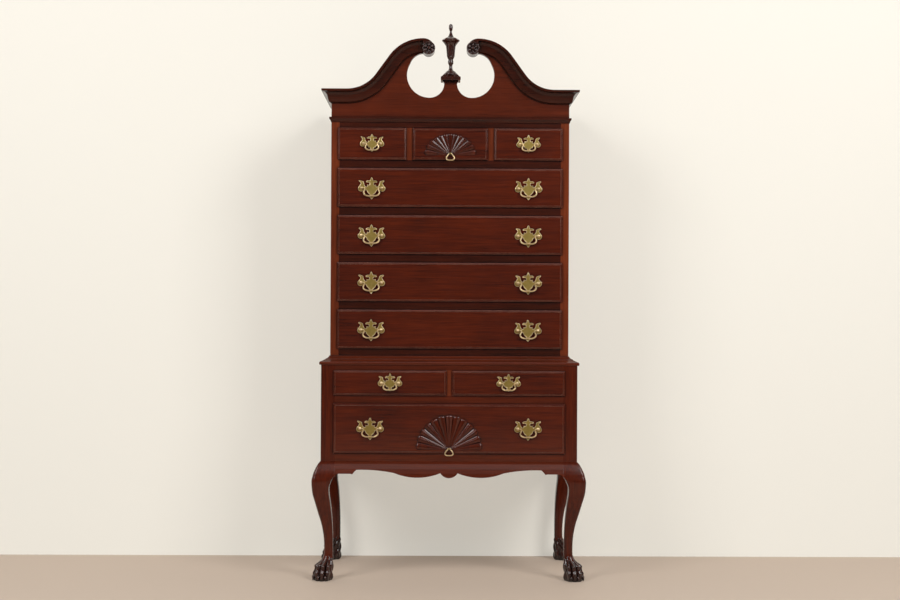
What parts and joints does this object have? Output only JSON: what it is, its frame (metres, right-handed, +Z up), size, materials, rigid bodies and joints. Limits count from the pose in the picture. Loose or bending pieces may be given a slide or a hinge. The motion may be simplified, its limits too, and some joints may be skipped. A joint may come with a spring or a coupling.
{
  "type": "highboy",
  "caption": "Tall chest of lipped drawers on a stand with cabriole legs, scalloped aprons, carved fans, swinging brass pulls and a broken scroll pediment with an urn.",
  "frame": {"origin": "on the floor under the middle of the case", "axes": "+Z up, +Y to the back and +X to the right across the front"},
  "size_m": [1.013, 0.544, 2.0703],
  "materials": {
    "mahogany": "polished, dark red-brown",
    "poplar": "planed, unfinished",
    "pine": "sawn, aged, unfinished",
    "brass": "antique, softly worn"
  },
  "bodies": {
    "case": {"cabriole_legs": "mahogany", "aprons": "mahogany", "lower_case_boards": "mahogany", "lower_face_frame": "mahogany", "waist_moulding": "mahogany", "upper_case_boards": "mahogany", "upper_face_frame": "mahogany", "back_panels": "pine", "drawer_runners": "poplar", "frieze_bead": "mahogany", "pediment_board": "mahogany", "swan_neck_mouldings": "mahogany", "rosettes": "mahogany", "finial": "mahogany"},
    "top_left_drawer": {"top_left_drawer_front": "mahogany", "top_left_drawer_box": "poplar", "top_left_drawer_brass": "brass"},
    "top_left_bail": {"top_left_bail": "brass"},
    "top_right_drawer": {"top_right_drawer_front": "mahogany", "top_right_drawer_box": "poplar", "top_right_drawer_brass": "brass"},
    "top_right_bail": {"top_right_bail": "brass"},
    "top_centre_drawer": {"top_centre_drawer_front": "mahogany", "top_centre_drawer_box": "poplar", "top_centre_drawer_brass": "brass"},
    "top_centre_ring": {"top_centre_ring": "brass"},
    "long_1_drawer": {"long_1_drawer_front": "mahogany", "long_1_drawer_box": "poplar", "long_1_drawer_brass": "brass"},
    "long_1_left_bail": {"long_1_left_bail": "brass"},
    "long_1_right_bail": {"long_1_right_bail": "brass"},
    "long_2_drawer": {"long_2_drawer_front": "mahogany", "long_2_drawer_box": "poplar", "long_2_drawer_brass": "brass"},
    "long_2_left_bail": {"long_2_left_bail": "brass"},
    "long_2_right_bail": {"long_2_right_bail": "brass"},
    "long_3_drawer": {"long_3_drawer_front": "mahogany", "long_3_drawer_box": "poplar", "long_3_drawer_brass": "brass"},
    "long_3_left_bail": {"long_3_left_bail": "brass"},
    "long_3_right_bail": {"long_3_right_bail": "brass"},
    "long_4_drawer": {"long_4_drawer_front": "mahogany", "long_4_drawer_box": "poplar", "long_4_drawer_brass": "brass"},
    "long_4_left_bail": {"long_4_left_bail": "brass"},
    "long_4_right_bail": {"long_4_right_bail": "brass"},
    "half_left_drawer": {"half_left_drawer_front": "mahogany", "half_left_drawer_box": "poplar", "half_left_drawer_brass": "brass"},
    "half_left_bail": {"half_left_bail": "brass"},
    "half_right_drawer": {"half_right_drawer_front": "mahogany", "half_right_drawer_box": "poplar", "half_right_drawer_brass": "brass"},
    "half_right_bail": {"half_right_bail": "brass"},
    "bottom_drawer": {"bottom_drawer_front": "mahogany", "bottom_drawer_box": "poplar", "bottom_drawer_brass": "brass"},
    "bottom_left_bail": {"bottom_left_bail": "brass"},
    "bottom_right_bail": {"bottom_right_bail": "brass"},
    "bottom_ring": {"bottom_ring": "brass"}
  },
  "joints": [
    {"name": "top_left_slide", "type": "slide", "parent": "case", "child": "top_left_drawer", "axis": [0, -1, 0], "range_m": [0, 0.33]},
    {"name": "top_left_bail_hinge", "type": "hinge", "parent": "top_left_drawer", "child": "top_left_bail", "pos_m": [-0.2915, -0.2239, 1.6195], "axis": [-1, 0, 0], "range_deg": [-10, 95]},
    {"name": "top_right_slide", "type": "slide", "parent": "case", "child": "top_right_drawer", "axis": [0, -1, 0], "range_m": [0, 0.33]},
    {"name": "top_right_bail_hinge", "type": "hinge", "parent": "top_right_drawer", "child": "top_right_bail", "pos_m": [0.2915, -0.2239, 1.6195], "axis": [-1, 0, 0], "range_deg": [-10, 95]},
    {"name": "top_centre_slide", "type": "slide", "parent": "case", "child": "top_centre_drawer", "axis": [0, -1, 0], "range_m": [0, 0.33]},
    {"name": "top_centre_ring_hinge", "type": "hinge", "parent": "top_centre_drawer", "child": "top_centre_ring", "pos_m": [0, -0.2288, 1.583], "axis": [-1, 0, 0], "range_deg": [-10, 100]},
    {"name": "long_1_slide", "type": "slide", "parent": "case", "child": "long_1_drawer", "axis": [0, -1, 0], "range_m": [0, 0.33]},
    {"name": "long_1_left_bail_hinge", "type": "hinge", "parent": "long_1_drawer", "child": "long_1_left_bail", "pos_m": [-0.292, -0.2239, 1.4536], "axis": [-1, 0, 0], "range_deg": [-10, 95]},
    {"name": "long_1_right_bail_hinge", "type": "hinge", "parent": "long_1_drawer", "child": "long_1_right_bail", "pos_m": [0.292, -0.2239, 1.4536], "axis": [-1, 0, 0], "range_deg": [-10, 95]},
    {"name": "long_2_slide", "type": "slide", "parent": "case", "child": "long_2_drawer", "axis": [0, -1, 0], "range_m": [0, 0.33]},
    {"name": "long_2_left_bail_hinge", "type": "hinge", "parent": "long_2_drawer", "child": "long_2_left_bail", "pos_m": [-0.292, -0.2239, 1.2778], "axis": [-1, 0, 0], "range_deg": [-10, 95]},
    {"name": "long_2_right_bail_hinge", "type": "hinge", "parent": "long_2_drawer", "child": "long_2_right_bail", "pos_m": [0.292, -0.2239, 1.2778], "axis": [-1, 0, 0], "range_deg": [-10, 95]},
    {"name": "long_3_slide", "type": "slide", "parent": "case", "child": "long_3_drawer", "axis": [0, -1, 0], "range_m": [0, 0.33]},
    {"name": "long_3_left_bail_hinge", "type": "hinge", "parent": "long_3_drawer", "child": "long_3_left_bail", "pos_m": [-0.292, -0.2239, 1.102], "axis": [-1, 0, 0], "range_deg": [-10, 95]},
    {"name": "long_3_right_bail_hinge", "type": "hinge", "parent": "long_3_drawer", "child": "long_3_right_bail", "pos_m": [0.292, -0.2239, 1.102], "axis": [-1, 0, 0], "range_deg": [-10, 95]},
    {"name": "long_4_slide", "type": "slide", "parent": "case", "child": "long_4_drawer", "axis": [0, -1, 0], "range_m": [0, 0.33]},
    {"name": "long_4_left_bail_hinge", "type": "hinge", "parent": "long_4_drawer", "child": "long_4_left_bail", "pos_m": [-0.292, -0.2239, 0.9262], "axis": [-1, 0, 0], "range_deg": [-10, 95]},
    {"name": "long_4_right_bail_hinge", "type": "hinge", "parent": "long_4_drawer", "child": "long_4_right_bail", "pos_m": [0.292, -0.2239, 0.9262], "axis": [-1, 0, 0], "range_deg": [-10, 95]},
    {"name": "half_left_slide", "type": "slide", "parent": "case", "child": "half_left_drawer", "axis": [0, -1, 0], "range_m": [0, 0.33]},
    {"name": "half_left_bail_hinge", "type": "hinge", "parent": "half_left_drawer", "child": "half_left_bail", "pos_m": [-0.21925, -0.2584, 0.7305], "axis": [-1, 0, 0], "range_deg": [-10, 95]},
    {"name": "half_right_slide", "type": "slide", "parent": "case", "child": "half_right_drawer", "axis": [0, -1, 0], "range_m": [0, 0.33]},
    {"name": "half_right_bail_hinge", "type": "hinge", "parent": "half_right_drawer", "child": "half_right_bail", "pos_m": [0.21925, -0.2584, 0.7305], "axis": [-1, 0, 0], "range_deg": [-10, 95]},
    {"name": "bottom_slide", "type": "slide", "parent": "case", "child": "bottom_drawer", "axis": [0, -1, 0], "range_m": [0, 0.33]},
    {"name": "bottom_left_bail_hinge", "type": "hinge", "parent": "bottom_drawer", "child": "bottom_left_bail", "pos_m": [-0.292, -0.2584, 0.56225], "axis": [-1, 0, 0], "range_deg": [-10, 95]},
    {"name": "bottom_right_bail_hinge", "type": "hinge", "parent": "bottom_drawer", "child": "bottom_right_bail", "pos_m": [0.292, -0.2584, 0.56225], "axis": [-1, 0, 0], "range_deg": [-10, 95]},
    {"name": "bottom_ring_hinge", "type": "hinge", "parent": "bottom_drawer", "child": "bottom_ring", "pos_m": [0, -0.2633, 0.49], "axis": [-1, 0, 0], "range_deg": [-10, 100]}
  ]
}
